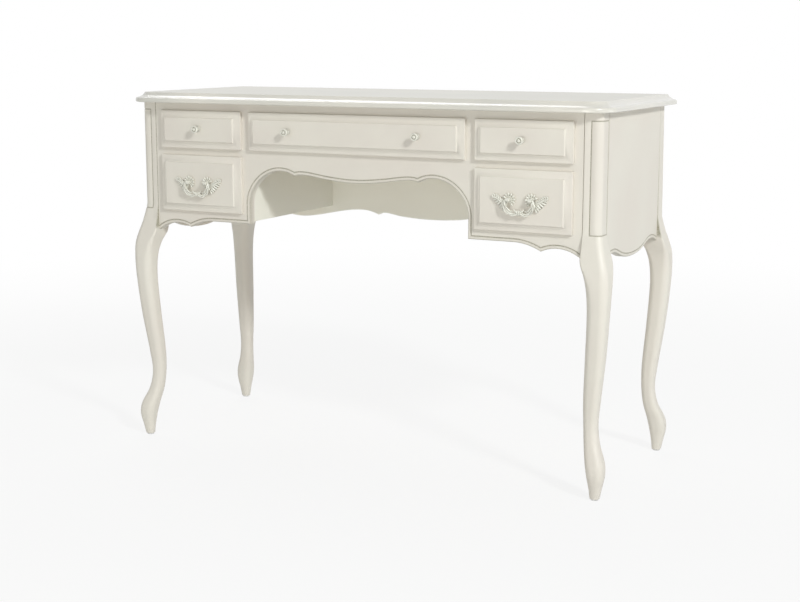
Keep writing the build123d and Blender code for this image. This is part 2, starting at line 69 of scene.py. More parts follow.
# ---- Studio ----
# A pale floor that runs out of sight, a white room that fills the shadows, a key lamp at the
# upper right, weak fills low at the front and the right, and a strip high at the back.
floor_half = 60.0
floor_color = (0.80, 0.80, 0.79, 1)
floor_near = (0.75, 0.84)   # how far from the middle, and how white the floor is there
floor_far = (3.2, 1.0)
room_color = (0.95, 0.975, 0.965, 1)
room_strength = 0.400
key_turn = 58.0             # degrees to the right of the front, and above the floor
key_height = 29.0
key_distance = 6.5
key_size = (0.75, 0.75)
key_power = 217.0
key_color = (0.965, 0.985, 0.985)
front_place = (0.2, -4.5, 0.35)
front_size = (2.4, 0.8)     # low enough that the top never mirrors it
front_power = 38.0
front_color = (1.0, 0.985, 0.94)
side_place = (3.4, 1.0, 0.20)
side_size = (1.0, 1.0)
side_power = 8.0
side_color = (0.93, 0.97, 1.0)
rear_place = (-1.5, 1.5, 3.0)     # a wide strip, whose shine runs along the nosing's ledge
rear_size = (2.4, 0.7)
rear_power = 23.0
rear_color = (1, 1, 1)
lamp_target = Vector((0, 0, 0.5))


def add_node(nodes, kind, inputs, operation=None):
    """Add a shader node with these values on its inputs, and its operation where it has one."""
    node = nodes.new("ShaderNode" + kind)
    if operation:
        node.operation = operation
    for name, value in inputs.items():
        node.inputs[name].default_value = value
    return node


def make_studio_shell(tree, shaded, white):
    """Show the camera and mirror-like finishes plain white in place of the lit shade. Gives the
    mixed shader, and the socket that says how much of it is white."""
    nodes = tree.nodes
    rays = add_node(nodes, "LightPath", {})
    seen = add_node(nodes, "Math", {}, "MAXIMUM")
    tree.links.new(rays.outputs["Is Camera Ray"], seen.inputs[0])
    tree.links.new(rays.outputs["Is Glossy Ray"], seen.inputs[1])
    clear = add_node(nodes, "Math", {}, "MAXIMUM")
    tree.links.new(seen.outputs[0], clear.inputs[0])
    tree.links.new(rays.outputs["Is Transmission Ray"], clear.inputs[1])
    amount = add_node(nodes, "Math", {1: 1.0}, "MULTIPLY")
    tree.links.new(clear.outputs[0], amount.inputs[0])
    mix = add_node(nodes, "MixShader", {})
    tree.links.new(amount.outputs[0], mix.inputs[0])
    tree.links.new(shaded.outputs[0], mix.inputs[1])
    tree.links.new(white.outputs[0], mix.inputs[2])
    return mix, amount.inputs[1]


floor_bm = bmesh.new()
bmesh.ops.create_grid(floor_bm, x_segments=1, y_segments=1, size=floor_half)
floor_mesh = bpy.data.meshes.new("studio_floor")
floor_bm.to_mesh(floor_mesh)
floor_bm.free()
studio_floor = bpy.data.objects.new("studio_floor", floor_mesh)
bpy.context.scene.collection.objects.link(studio_floor)

floor_paint = bpy.data.materials.new("studio_floor")
floor_paint.use_nodes = True
floor_tree = floor_paint.node_tree
floor_shade = floor_tree.nodes["Principled BSDF"]
floor_shade.inputs["Base Color"].default_value = floor_color
floor_shade.inputs["Roughness"].default_value = 0.9
floor_white = add_node(floor_tree.nodes, "Emission", {})
floor_mix, floor_amount = make_studio_shell(floor_tree, floor_shade, floor_white)
floor_place = add_node(floor_tree.nodes, "TexCoord", {})
floor_run = add_node(floor_tree.nodes, "VectorMath", {}, "LENGTH")
floor_tree.links.new(floor_place.outputs["Object"], floor_run.inputs[0])
floor_share = add_node(floor_tree.nodes, "MapRange", {
    "From Min": floor_near[0], "To Min": floor_near[1],
    "From Max": floor_far[0], "To Max": floor_far[1]})
floor_share.interpolation_type = "SMOOTHSTEP"
floor_tree.links.new(floor_run.outputs["Value"], floor_share.inputs["Value"])
floor_tree.links.new(floor_share.outputs["Result"], floor_amount)
floor_out = floor_tree.nodes["Material Output"]
floor_tree.links.new(floor_mix.outputs[0], floor_out.inputs["Surface"])
floor_mesh.materials.append(floor_paint)

room = bpy.data.worlds.new("studio_room")
room.use_nodes = True
bpy.context.scene.world = room
room_light = room.node_tree.nodes["Background"]
room_light.inputs["Color"].default_value = room_color
room_light.inputs["Strength"].default_value = room_strength
room_white = add_node(room.node_tree.nodes, "Background", {"Color": (1, 1, 1, 1)})
room_mix, _ = make_studio_shell(room.node_tree, room_light, room_white)
room_out = room.node_tree.nodes["World Output"]
room.node_tree.links.new(room_mix.outputs[0], room_out.inputs["Surface"])

key_from = Vector((sin(radians(key_turn)), -cos(radians(key_turn)), 0)) * cos(radians(key_height))
key_from.z = sin(radians(key_height))
lamps = [
    ("key_lamp", lamp_target + key_from * key_distance, key_size, key_power, key_color),
    ("front_lamp", Vector(front_place), front_size, front_power, front_color),
    ("side_lamp", Vector(side_place), side_size, side_power, side_color),
    ("rear_lamp", Vector(rear_place), rear_size, rear_power, rear_color),
]
for name, place, size, power, color in lamps:
    lamp = bpy.data.objects.new(name, bpy.data.lights.new(name, "AREA"))
    bpy.context.scene.collection.objects.link(lamp)
    lamp.location = place
    lamp.rotation_euler = (lamp_target - place).to_track_quat("-Z", "Y").to_euler()
    lamp.data.shape = "RECTANGLE"
    lamp.data.size, lamp.data.size_y = size
    lamp.data.energy = power
    lamp.data.color = color
bpy.context.scene.view_settings.view_transform = "Standard"


# ---- Moulded top ----
# A solid board with a cove falling to a rounded nosing along the front and the two sides. The
# back is plain. It is sprayed ivory. The flat has less clear coat, so it is duller than the
# polished moulding, and it is painted darker and cooler: painted shade and painted reflection.
cove_width = 0.020
cove_foot = radians(8)      # the cove's slope at its foot
cove_steps = 10
cove_drop = 0.0105
nosing_top = 0.0045         # the rounding above the nosing's face, and the one below it
nosing_round = 0.0025
nosing_steps = 6
top_corner = 0.052
corner_steps = 14
back_spare = 0.030          # cut off again, so that the back stays plain
ivory = (0.752, 0.716, 0.642, 1)    # on the moulding and the case; then the flat and its clouds
# the flat's colour and the clouds' are darker and cooler than the ivory: painted shade and a
# painted cool reflection
top_flat_painted_shade = (0.650, 0.629, 0.560, 1)
top_cloud_shade_and_reflection = (0.625, 0.608, 0.550, 1)
top_rim = 0.0012            # where the polish and the moulding's ivory end, in from the flat's edge
rim_polish = 0.84           # clear coat on the moulding over that on the flat
flat_polish = 0.16
# the wash's colour; on the rims and in the castings' hollows it also serves as painted shade
wash_and_shade_color = (0.29, 0.275, 0.20, 1)


def start_group(name, given, told):
    """An empty node group that takes and gives these sockets, with its two end nodes."""
    group = bpy.data.node_groups.new(name, "ShaderNodeTree")
    for way, sockets in (("INPUT", given), ("OUTPUT", told)):
        for label, kind, value in sockets:
            kind = "NodeSocket" + kind
            made = group.interface.new_socket(label, in_out=way, socket_type=kind)
            if value is not None:
                made.default_value = value
    return group, group.nodes.new("NodeGroupInput"), group.nodes.new("NodeGroupOutput")


def mix_colors(nodes, links, factor, one, other):
    """Mix two colours by a factor. All three are outputs of other nodes, and so is the mix."""
    mix = add_node(nodes, "Mix", {})
    mix.data_type = "RGBA"
    for name, output in (("Factor", factor), ("A", one), ("B", other)):
        links.new(output, mix.inputs[name])
    return mix.outputs["Result"]


def make_paint_group():
    """Sprayed paint: soft clouds of a second tone, wash and painted shade where the mask says,
    faint orange peel.
    """
    group, given, told = start_group(
        "sprayed_paint",
        [("Vector", "Vector", None), ("Paint", "Color", None), ("Cloud", "Color", None),
         ("Wash And Shade", "Color", None), ("Mask", "Float", 0.0), ("Cloud Size", "Float", 5.0),
         ("Roughness", "Float", 0.4)],
        [("Color", "Color", None), ("Roughness", "Float", None), ("Height", "Float", None)])
    nodes, links = group.nodes, group.links
    clouds = add_node(nodes, "TexNoise", {"Detail": 4.0})
    links.new(given.outputs["Vector"], clouds.inputs["Vector"])
    links.new(given.outputs["Cloud Size"], clouds.inputs["Scale"])
    spread = add_node(nodes, "MapRange", {"From Min": 0.36, "From Max": 0.64})
    links.new(clouds.outputs["Fac"], spread.inputs["Value"])
    tone = mix_colors(
        nodes, links, spread.outputs["Result"], given.outputs["Paint"], given.outputs["Cloud"])
    speck = add_node(nodes, "TexNoise", {"Scale": 420.0, "Detail": 2.0})
    links.new(given.outputs["Vector"], speck.inputs["Vector"])
    patchy = add_node(nodes, "MapRange", {"From Min": 0.3, "From Max": 0.6, "To Min": 0.6})
    links.new(speck.outputs["Fac"], patchy.inputs["Value"])
    # the mask's wash and painted shade, broken up by the speck
    wash_and_shade_amount = add_node(nodes, "Math", {}, "MULTIPLY")
    wash_and_shade_amount.use_clamp = True
    links.new(given.outputs["Mask"], wash_and_shade_amount.inputs[0])
    links.new(patchy.outputs["Result"], wash_and_shade_amount.inputs[1])
    wash_and_shade_tone = mix_colors(nodes, links, wash_and_shade_amount.outputs[0], tone, given.outputs["Wash And Shade"])
    links.new(wash_and_shade_tone, told.inputs["Color"])
    shine = add_node(nodes, "Math", {1: 0.10}, "MULTIPLY_ADD")
    links.new(clouds.outputs["Fac"], shine.inputs[0])
    links.new(given.outputs["Roughness"], shine.inputs[2])
    links.new(shine.outputs[0], told.inputs["Roughness"])
    links.new(speck.outputs["Fac"], told.inputs["Height"])
    return group


paint_group = make_paint_group()


def painted(name, paint, cloud, cloud_size, roughness, bump, coat=0.0, rub_and_shade=wash_and_shade_color):
    """A painted finish; the wash, and the painted shade on some pieces, lie where the piece's own
    attribute says.
    """
    finish = bpy.data.materials.new(name)
    finish.use_nodes = True
    nodes, links = finish.node_tree.nodes, finish.node_tree.links
    shader = nodes["Principled BSDF"]
    shader.inputs["Coat Weight"].default_value = coat
    shader.inputs["Coat Roughness"].default_value = 0.14
    place = add_node(nodes, "TexCoord", {})
    mask = add_node(nodes, "Attribute", {})
    mask.attribute_name = "wash_and_shade"
    coats = nodes.new("ShaderNodeGroup")
    coats.node_tree = paint_group
    for label, value in (
            ("Paint", paint), ("Cloud", cloud), ("Wash And Shade", rub_and_shade), ("Cloud Size", cloud_size),
            ("Roughness", roughness)):
        coats.inputs[label].default_value = value
    links.new(place.outputs["Object"], coats.inputs["Vector"])
    links.new(mask.outputs["Fac"], coats.inputs["Mask"])
    links.new(coats.outputs["Color"], shader.inputs["Base Color"])
    links.new(coats.outputs["Roughness"], shader.inputs["Roughness"])
    rise = add_node(nodes, "Bump", {"Strength": bump, "Distance": 0.0002})
    links.new(coats.outputs["Height"], rise.inputs["Height"])
    links.new(rise.outputs["Normal"], shader.inputs["Normal"])
    return finish


def keep_piece(bm, name, finish, body, replaced, sharp=32.0):
    """Turn a finished bmesh into a piece that rides on its body and stands for CAD nodes."""
    mesh = bpy.data.meshes.new(name)
    bm.to_mesh(mesh)
    bm.free()
    mesh.materials.append(finish)
    mesh.shade_smooth()
    mesh.set_sharp_from_angle(angle=radians(sharp))
    piece = bpy.data.objects.new(name, mesh)
    bpy.context.scene.collection.objects.link(piece)
    even = piece.modifiers.new("even_shading", "WEIGHTED_NORMAL")
    even.keep_sharp = True
    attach(piece, body)
    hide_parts(*replaced)
    return piece


def arc_steps(radius, start, end, count):
    """Steps along an arc, as (level, upward) runs, that begins at one slope and ends at another."""
    turns = [start + (end - start) * i / count for i in range(count + 1)]
    return [
        (radius * (sin(b) - sin(a)), radius * (cos(a) - cos(b)))
        for a, b in zip(turns, turns[1:])
    ]


def make_top():
    """A slab with two rounded corners, whose edge is inset step by step into the cove."""
    low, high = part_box("top_board")
    bm = bmesh.new()
    bmesh.ops.create_cube(bm, size=1)
    foot = low + Vector((0, 0, nosing_round))
    head = high + Vector((0, back_spare, -cove_drop - nosing_top))
    bmesh.ops.scale(bm, vec=head - foot, verts=bm.verts)
    bmesh.ops.translate(bm, vec=(head + foot) / 2, verts=bm.verts)
    corners = [
        e for e in bm.edges
        if e.verts[0].co.y < 0 and (e.verts[0].co - e.verts[1].co).length < 2 * (head.z - foot.z)
    ]
    bmesh.ops.bevel(
        bm, geom=corners, offset=top_corner, segments=corner_steps, profile=0.5, affect="EDGES",
        material=-1)
    above = [(up, level) for level, up in arc_steps(nosing_top, 0, pi / 2, nosing_steps)]
    below = [(up, level) for level, up in arc_steps(nosing_round, 0, pi / 2, nosing_steps)]
    cove_run = cove_width - nosing_top
    cove_head = 2 * atan(cove_drop / cove_run) - cove_foot
    cove = arc_steps(cove_run / (sin(cove_head) - sin(cove_foot)), cove_foot, cove_head, cove_steps)
    flat = max(bm.faces, key=lambda f: f.calc_center_median().z)
    for inward, upward in above + cove + [(top_rim, 0)]:
        bmesh.ops.inset_region(
            bm, faces=[flat], thickness=inward, depth=upward, use_even_offset=True)
    # 1 on the moulding, with more clear coat and the ivory; 0 on the flat, with less coat and its
    # painted-shade colour
    polish_and_shade = bm.verts.layers.float.new("polish_and_shade")
    for v in bm.verts:
        v[polish_and_shade] = 0 if v in flat.verts[:] else 1
    ground = min(bm.faces, key=lambda f: f.calc_center_median().z)
    for inward, downward in below:
        bmesh.ops.inset_region(
            bm, faces=[ground], thickness=inward, depth=downward, use_even_offset=True)
    everything = bm.verts[:] + bm.edges[:] + bm.faces[:]
    bmesh.ops.bisect_plane(
        bm, geom=everything, plane_co=high, plane_no=(0, 1, 0), clear_outer=True)
    bmesh.ops.holes_fill(bm, edges=[e for e in bm.edges if e.is_boundary], sides=0)
    return bm


top_paint = painted("top_paint", ivory, top_cloud_shade_and_reflection, cloud_size=3.0, roughness=0.34, bump=0.05)
top_tree = top_paint.node_tree
polish_and_shade = add_node(top_tree.nodes, "Attribute", {})
polish_and_shade.attribute_name = "polish_and_shade"
coat_share = add_node(top_tree.nodes, "Math", {1: rim_polish, 2: flat_polish}, "MULTIPLY_ADD")
# the flat takes its darker colour, painted shade; the moulding takes the ivory
top_tone_and_shade = add_node(top_tree.nodes, "Mix", {})
top_tone_and_shade.data_type = "RGBA"
top_tone_and_shade.inputs["A"].default_value = top_flat_painted_shade
top_tone_and_shade.inputs["B"].default_value = ivory
top_tree.links.new(polish_and_shade.outputs["Fac"], coat_share.inputs[0])
top_shader = top_tree.nodes["Principled BSDF"]
top_tree.links.new(coat_share.outputs[0], top_shader.inputs["Coat Weight"])
top_tree.links.new(polish_and_shade.outputs["Fac"], top_tone_and_shade.inputs["Factor"])
top_tree.links.new(top_tone_and_shade.outputs["Result"], top_tree.nodes["Group"].inputs["Paint"])
keep_piece(make_top(), "moulded_top", top_paint, "case", ["top_board"])


# ---- Face frame ----
# Rails and stiles tenoned together and painted as one sheet, so no joint shows. A line is
# incised along its scalloped lower edge, with a rounded bead below it, and wash fills the line.
# The rounded rim below is darkened too: painted shade where it turns down from the light.
ivory_warm = (0.732, 0.684, 0.616, 1)
scallop_pitch = 0.005
line_inset = 0.0054         # flat of the bead, between the rim and the line
line_half = 0.0014          # half the line's width
line_depth = 0.0012
rim_round = 0.0024
rim_steps = 4
# the rim's dark wash is painted shade, where the rounded lower edge turns down from the light
rim_painted_shade = 0.6
bead_inset = 0.0030         # where the rim's painted shade ends
bank_wash = 0.2             # on both banks of the line
top_clear = 0.0010          # so near the board's top, no edge is rounded
end_spare = 0.030           # how far a board is drawn past its ends and top, to be cut off there
lip_over = 0.008            # how far a drawer front overlaps its opening
# each point: across and up from the kneehole's plain corner, slope before it and after it
knee_line = [
    (0.0, 0.098, 0, 0), (0.064, 0.1025, 6, 6), (0.128, 0.110, 0, 0), (0.1435, 0.107, -22, 29),
    (0.178, 0.116, 0, 0), (0.2334, 0.0919, -46, -46), (0.255, 0.043, -90, -90),
    (0.255, 0.0, -90, 0),
]
# the same, in from the post and up from the plain edge
pedestal_line = [
    (0.143, 0.0, 0, 0), (0.084, -0.015, -28, 25), (0.053, -0.0075, 2, 2), (0.0, -0.0255, -39, -39),
]
line_parts = 2.9            # a curve's handles reach one part in this many of its chord


def drawn_line(points, pitch):
    """Points along a smooth line that passes its marks at the given slopes, in degrees."""
    line = []
    for (x0, z0, _, leave), (x1, z1, arrive, _) in zip(points, points[1:]):
        start, end = Vector((x0, 0, z0)), Vector((x1, 0, z1))
        reach = (end - start).length / line_parts
        first = start + reach * Vector((cos(radians(leave)), 0, sin(radians(leave))))
        last = end - reach * Vector((cos(radians(arrive)), 0, sin(radians(arrive))))
        straight = (first - start).cross(end - start).length < 1e-8
        count = max(3, round((end - start).length / pitch) + 1)
        if straight and leave == arrive:
            count = 2
        line += interpolate_bezier(start, first, last, end, count)[:-1]
    return line + [Vector((points[-1][0], 0, points[-1][1]))]


def make_incised_board(line, front, back, ends, top, openings, incised=True):
    """A board in X and Z whose lower edge follows the line, with an incised line beside it. It
    is cut off at both ends and at its top; an opening is its left, right, low and high side."""
    bm = bmesh.new()
    wash_and_shade = bm.verts.layers.float.new("wash_and_shade")
    rim = bm.verts.layers.int.new("rim")
    first, last = line[0], line[-1]
    roof = top + end_spare
    corners = [Vector((last.x, 0, roof)), Vector((first.x, 0, roof))]
    loop = [bm.verts.new((p.x, front, p.z)) for p in line + corners]
    for v in loop:
        v[rim] = 1
        v[wash_and_shade] = rim_painted_shade if incised else 0
    sheet = bm.faces.new(loop)
    sheet.normal_update()
    if sheet.normal.y > 0:
        sheet.normal_flip()
    insets = (
        (bead_inset, 0, 0), (line_inset - bead_inset, 0, bank_wash),
        (line_half, -line_depth, 1.0), (line_half, line_depth, bank_wash), (line_half, 0, 0))
    for inward, outward, stain in insets if incised else ():
        bmesh.ops.inset_region(
            bm, faces=[sheet], thickness=inward, depth=outward, use_even_offset=True,
            use_boundary=True)
        for v in sheet.verts:
            v[rim] = 0
            v[wash_and_shade] = stain
    cuts = (
        ((ends[0], 0, 0), (-1, 0, 0)), ((ends[1], 0, 0), (1, 0, 0)), ((0, 0, top), (0, 0, 1)))
    for place, way in cuts:
        everything = bm.verts[:] + bm.edges[:] + bm.faces[:]
        bmesh.ops.bisect_plane(
            bm, geom=everything, plane_co=place, plane_no=way, clear_outer=True)
    bmesh.ops.remove_doubles(bm, verts=bm.verts, dist=1e-6)
    if openings:
        sheet = max(bm.faces, key=lambda f: f.calc_area())
        edges = sheet.edges[:]
        bmesh.ops.delete(bm, geom=[sheet], context="FACES_ONLY")
        for x0, x1, z0, z1 in openings:
            marks = ((x0, z0), (x1, z0), (x1, z1), (x0, z1))
            hole = [bm.verts.new((x, front, z)) for x, z in marks]
            edges += [bm.edges.new((a, b)) for a, b in zip(hole, hole[1:] + hole[:1])]
        bmesh.ops.triangle_fill(bm, use_beauty=True, edges=edges, normal=(0, -1, 0))
    made = bmesh.ops.extrude_face_region(bm, geom=bm.faces[:], use_keep_orig=True)
    for item in made["geom"]:
        if isinstance(item, bmesh.types.BMVert):
            item.co.y = back
            item[wash_and_shade] = 0
            item[rim] = 0
    bmesh.ops.recalc_face_normals(bm, faces=bm.faces)

    def on_rim(e):
        a, b = (v.co for v in e.verts)
        upright = abs(a.x - b.x) <= 1e-6
        at_end = not ends[0] + 1e-5 < a.x < ends[1] - 1e-5
        below = all(v[rim] and v.co.z < top - top_clear for v in e.verts)
        return below and e.is_manifold and not (upright and at_end)

    bmesh.ops.bevel(
        bm, geom=[e for e in bm.edges if on_rim(e)], offset=rim_round, segments=rim_steps,
        profile=0.5, affect="EDGES", material=-1)
    return bm


frame_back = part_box("top_rail")[1].y
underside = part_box("top_rail")[1].z
post_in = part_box("end_stile_right")[1].x
case_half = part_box("side_panel_right")[1].x
plain_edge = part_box("kneehole_stile_right")[0].z


def mirrored_line(marks):
    """A line drawn straight on past its last mark, after its own mirror image."""
    x, z, slope, _ = marks[-1]
    beyond = (x + end_spare, z + end_spare * tan(radians(slope)), slope, slope)
    half = drawn_line(marks + [beyond], scallop_pitch)
    return [Vector((-p.x, 0, p.z)) for p in half[:0:-1]] + half


def front_line():
    """The whole lower edge of the face frame, from past the left post to past the right one."""
    right = [(x, plain_edge + up, before, after) for x, up, before, after in knee_line]
    right += [
        (post_in - inward, plain_edge + up, before, after)
        for inward, up, before, after in pedestal_line
    ]
    return mirrored_line(right)


openings = []
for drawer in ("centre", "upper_left", "upper_right", "lower_left", "lower_right"):
    low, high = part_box(drawer + "_drawer_front")
    openings.append((low.x + lip_over, high.x - lip_over, low.z + lip_over, high.z - lip_over))
frame_nodes = ["top_rail", "kneehole_apron"]
for name in ("kneehole_stile", "end_stile", "drawer_rail", "pedestal_rail"):
    frame_nodes += [name + "_left", name + "_right"]
ivory_paint = painted(
    "ivory_paint", ivory, ivory_warm, cloud_size=5.0, roughness=0.46, bump=0.06, coat=0.05)
frame_bm = make_incised_board(
    front_line(), case_front, frame_back, (-post_in, post_in), underside, openings)
keep_piece(frame_bm, "face_frame", ivory_paint, "case", frame_nodes)


# ---- Cabriole legs ----
# Each corner post and its cabriole leg are cut from one piece. A column panel, bounded by V
# grooves filled with wash, is carved round the outer corner of the two front posts.
post_size = 0.037
post_round = 0.013
post_edge = 0.0024
column_front = 0.0225       # from the post's corner to its groove, on the front and on the side
column_side = 0.0332
column_top = 0.016          # below the top board
column_foot = 0.0075        # below the point where the leg begins to swell
groove_half = 0.0017        # half a groove's width, and its depth
groove_most = 0.08          # and never more of a flat than this share
seam_low = 0.020            # the seams' wash ends this far below the case's plain edge
edge_steps = 5
round_steps = 10
glide_thick = 0.003
ring_pitch = 0.009
# share of the leg's height, reach past the post's corner, reach inward, outer and inner radius
leg_stations = [
    (1.0, 0.0, post_size, post_round, post_edge), (0.930, 0.0076, post_size, post_round, post_edge),
    (0.885, 0.0148, 0.036, 0.014, 0.004), (0.840, 0.0206, 0.0275, 0.015, 0.009),
    (0.785, 0.0224, 0.0224, 0.016, 0.014), (0.700, 0.0208, 0.0206, 0.015, 0.015),
    (0.540, 0.0137, 0.0242, 0.0135, 0.0135), (0.365, 0.0027, 0.0295, 0.012, 0.012),
    (0.277, -0.0012, 0.0291, 0.011, 0.011), (0.205, 0.0046, 0.0258, 0.012, 0.012),
    (0.140, 0.0182, 0.0186, 0.0135, 0.0135), (0.095, 0.0208, 0.0142, 0.0135, 0.0135),
    (0.045, 0.0158, 0.0098, 0.011, 0.011), (0.0, 0.0110, 0.0072, 0.0081, 0.0081),
]
swell_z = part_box("lower_right_drawer_front")[0].z + lip_over


def between_stations(share):
    """The leg's section at a share of its height, on a smooth curve through its stations."""
    stations = leg_stations[::-1]
    i = max(k for k in range(len(stations) - 1) if stations[k][0] <= share or k == 0)
    before, after = stations[max(i - 1, 0)], stations[min(i + 2, len(stations) - 1)]
    a, b = stations[i], stations[i + 1]
    t = (share - a[0]) / (b[0] - a[0])
    section = []
    for k in range(1, 5):
        slope_a = (b[k] - before[k]) / (b[0] - before[0])
        slope_b = (after[k] - a[k]) / (after[0] - a[0])
        run = b[0] - a[0]
        value = a[k] * (1 + 2 * t) * (1 - t) ** 2 + b[k] * (3 - 2 * t) * t * t
        value += run * (slope_a * t * (1 - t) ** 2 - slope_b * (1 - t) * t * t)
        section.append(value)
    return section


def leg_ring(bm, z, section, sunk, cut, joint):
    """One closed ring of the leg. sunk lowers the column's own face, cut is the upright grooves'
    depth, and joint is the wash rubbed into the seams with the frame and the side."""
    out, inn, outer_r, inner_r = section
    inn = min(inn, post_size)
    wash_and_shade = bm.verts.layers.float["wash_and_shade"]
    straight = out + inn - outer_r - inner_r
    flat = post_size - post_edge - post_round
    front_mid = inner_r - inn + straight * (post_size - column_front - post_edge) / flat
    side_mid = inner_r - inn + straight * (post_size - column_side - post_edge) / flat
    half = min(groove_half, straight * groove_most)
    deep = max(sunk, cut)
    points = []

    def corner(u, v, radius, turn, count, depth, first=0.0, last=0.0):
        for i in range(count + 1):
            a = radians(turn - 90 * i / count)
            after, before = (k / count * radius / post_edge for k in (i, count - i))
            stain = min(1, max(depth / groove_half, first * (1 - after), last * (1 - before)))
            points.append((u + (radius - depth) * cos(a), v + (radius - depth) * sin(a), stain))

    corner(inner_r - inn, out - inner_r, inner_r, 180, edge_steps, 0, first=joint)
    points += [
        (front_mid - half, out, 0), (front_mid, out - deep, deep / groove_half),
        (front_mid + half, out - sunk, sunk / groove_half)]
    corner(out - outer_r, out - outer_r, outer_r, 90, round_steps, sunk)
    points += [
        (out - sunk, side_mid + half, sunk / groove_half),
        (out - deep, side_mid, deep / groove_half),
        (out, side_mid - half, 0)]
    corner(out - inner_r, inner_r - inn, inner_r, 0, edge_steps, 0, last=joint)
    corner(inner_r - inn, inner_r - inn, inner_r, -90, edge_steps, 0)
    ring = []
    for u, v, stain in points:
        ring.append(bm.verts.new((case_half + u, case_front - v, z)))
        ring[-1][wash_and_shade] = stain
    return [bm.edges.new((a, b)) for a, b in zip(ring, ring[1:] + ring[:1])]


def make_leg(carved, joint):
    """The front right post and leg, as rings bridged from the foot to the top. A carved one
    has the column, and joint is the wash in its seams."""
    bm = bmesh.new()
    bm.verts.layers.float.new("wash_and_shade")
    column_low = swell_z - column_foot
    top_of_leg = column_low - groove_half
    count = round((top_of_leg - glide_thick) / ring_pitch)
    rings = []
    for i in range(count + 1):
        z = glide_thick + (top_of_leg - glide_thick) * i / count
        stain = joint if z > plain_edge - seam_low else 0
        rings.append(leg_ring(bm, z, between_stations(z / swell_z), 0, 0, stain))
    post = leg_stations[0][1:]
    if carved:
        column_high = underside - column_top
        groove = groove_half
        for z, sunk, cut in ((column_low, groove, groove), (column_low + groove, 0, groove)):
            rings.append(leg_ring(bm, z, between_stations(z / swell_z), sunk, cut, joint))
        for z, sunk, cut in (
                (swell_z + groove, 0, groove), (column_high - groove, 0, groove),
                (column_high, groove, groove), (column_high + groove, 0, 0)):
            rings.append(leg_ring(bm, z, post, sunk, cut, joint))
    rings.append(leg_ring(bm, underside, post, 0, 0, joint))
    for lower, upper in zip(rings, rings[1:]):
        bmesh.ops.bridge_loops(bm, edges=lower + upper)
    bmesh.ops.holes_fill(bm, edges=rings[0] + rings[-1], sides=0)
    bmesh.ops.recalc_face_normals(bm, faces=bm.faces)
    return bm


# the side it stands on, whether it stands at the rear, and how much wash its seams hold
for name, across, rear, joint in (
        ("leg_front_right", 1, False, 1.0), ("leg_front_left", -1, False, 3.0),
        ("leg_rear_right", 1, True, 1.0), ("leg_rear_left", -1, True, 1.0)):
    leg_bm = make_leg(not rear, joint)
    if rear:
        low_y, high_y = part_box("leg_front_right")[0].y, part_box("leg_rear_right")[1].y
        bmesh.ops.scale(leg_bm, vec=(1, -1, 1), verts=leg_bm.verts)
        bmesh.ops.translate(leg_bm, vec=(0, low_y + high_y, 0), verts=leg_bm.verts)
    bmesh.ops.scale(leg_bm, vec=(across, 1, 1), verts=leg_bm.verts)
    bmesh.ops.recalc_face_normals(leg_bm, faces=leg_bm.faces)
    keep_piece(
        leg_bm, "cabriole_" + name, ivory_paint, "case", [name], sharp=50)


# ---- Side and back panels ----
# Boards tongued into the posts. The sides carry the same incised line above a lobed lower edge;
# the back is cut like the apron, left plain, and painted lighter: painted light in the kneehole's
# shade.
side_line = [       # back from the post and up from the plain edge, with slopes as above
    (0.0, -0.029, 26, 26), (0.041, -0.0195, 0, 0), (0.082, -0.029, -18, -18),
    (0.1585, -0.0395, 0, 0),
]
back_line = [       # the same, across from the middle
    (0.0, -0.016, 0, 0), (0.0714, -0.0125, 5, 5), (0.119, -0.006, 0, 0),
    (0.134, -0.011, -37, 23), (0.176, -0.002, 0, 0), (0.330, -0.0245, -4, -4),
    (0.440, -0.0075, 6, 6), (0.493, -0.0225, -45, -45),
]
kneehole_light_ivory = (0.870, 0.860, 0.775, 1)      # lighter than the case: painted light for the kneehole's shade
kneehole_light_cloud = (0.845, 0.830, 0.745, 1)
post_back = case_front + post_size
for across, name in ((1, "right"), (-1, "left")):
    marks = [(post_back + u, plain_edge + up, before, after) for u, up, before, after in side_line]
    x, z, slope, _ = marks[0]
    marks.insert(0, (x - end_spare, z - end_spare * tan(radians(slope)), slope, slope))
    half = drawn_line(marks, scallop_pitch)
    turn = 2 * half[-1].x
    line = half + [Vector((turn - p.x, 0, p.z)) for p in half[-2::-1]]
    board = make_incised_board(
        line, -case_half, -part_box("side_panel_right")[0].x, (post_back, turn - post_back),
        underside, [])
    bmesh.ops.rotate(board, matrix=Matrix.Rotation(pi / 2, 3, "Z"), verts=board.verts)
    bmesh.ops.scale(board, vec=(across, 1, 1), verts=board.verts)
    bmesh.ops.recalc_face_normals(board, faces=board.faces)
    keep_piece(
        board, "side_board_" + name, ivory_paint, "case", ["side_panel_" + name])
back_low, back_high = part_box("back_panel")
marks = [(x, plain_edge + up, before, after) for x, up, before, after in back_line]
board = make_incised_board(
    mirrored_line(marks), back_low.y, back_high.y, (-post_in, post_in), underside, [],
    incised=False)
kneehole_light_paint = painted(
    "kneehole_light_paint", kneehole_light_ivory, kneehole_light_cloud, cloud_size=4.0, roughness=0.46, bump=0.06)
keep_piece(board, "back_board", kneehole_light_paint, "case", ["back_panel"])


# ---- Drawer fronts ----
# Solid boards that lip over their openings. A wide hollow bevel falls from the raised field to
# the rounded lip; behind, each board is socketed for the dovetails of its drawer's sides.
lip_round = 0.0014
lip_steps = 3
bevel_run = 0.0165          # from the lip's edge to the field
bevel_rise = 0.008
bevel_end = radians(57)     # the hollow's slope where it meets the field
bevel_steps = 8
field_soft = 0.0010
field_steps = 3
drawers = {         # and how many knobs each has
    "centre_drawer": 2, "upper_left_drawer": 1, "upper_right_drawer": 1,
    "lower_left_drawer": 0, "lower_right_drawer": 0,
}


